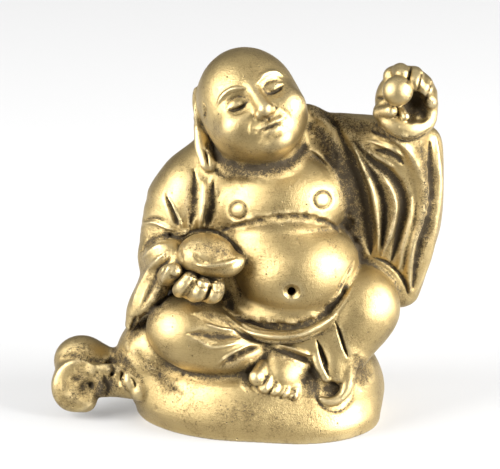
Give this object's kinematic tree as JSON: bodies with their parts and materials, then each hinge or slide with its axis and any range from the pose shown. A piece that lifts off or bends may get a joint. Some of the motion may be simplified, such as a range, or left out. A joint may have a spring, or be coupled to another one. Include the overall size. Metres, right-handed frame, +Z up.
{
  "type": "seated budai figure",
  "caption": "Small cast brass laughing-monk ornament, seated on an oval mound beside his sack, one hand raised with a ball, the other holding an ingot on the knee",
  "frame": {"origin": "On the table under the seat: a point of the flat underside of the mound, 1.6 mm to the figure's left of the mound's middle", "axes": "+Z up, the figure looks towards -Y, its raised left hand is towards +X"},
  "size_m": [0.0616, 0.034, 0.0592],
  "materials": {
    "brass": "satin cast brass, polished on the high parts, with a dark brown patina in the folds"
  },
  "bodies": {
    "root": {"budai_figure": "brass"}
  },
  "joints": []
}
